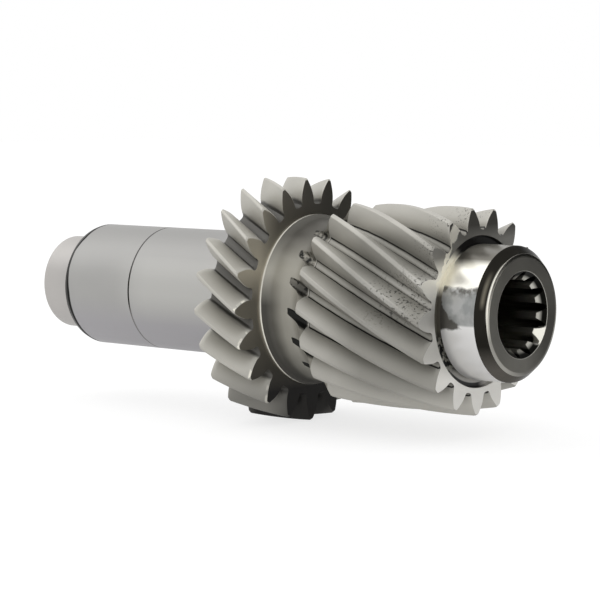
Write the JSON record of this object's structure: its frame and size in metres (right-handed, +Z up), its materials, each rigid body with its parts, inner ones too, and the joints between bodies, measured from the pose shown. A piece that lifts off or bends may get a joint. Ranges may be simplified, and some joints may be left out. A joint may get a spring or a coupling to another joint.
{
  "type": "intermediate shaft",
  "caption": "One-piece gearbox shaft with a wide helical pinion, a larger helical gear, a long ground seat, a short stub and a bearing journal with an internally splined end.",
  "frame": {"origin": "on the shaft's axis at the middle of the bearing journal beside the splined end", "axes": "+X along the shaft towards the splined end, +Z up, +Y across the shaft"},
  "size_m": [0.2316, 0.0946, 0.0946],
  "materials": {
    "shaft_steel": "hobbed teeth, ground seats and journal, darker turned side faces and end"
  },
  "bodies": {
    "root": {"intermediate_shaft": "shaft_steel"}
  },
  "joints": []
}
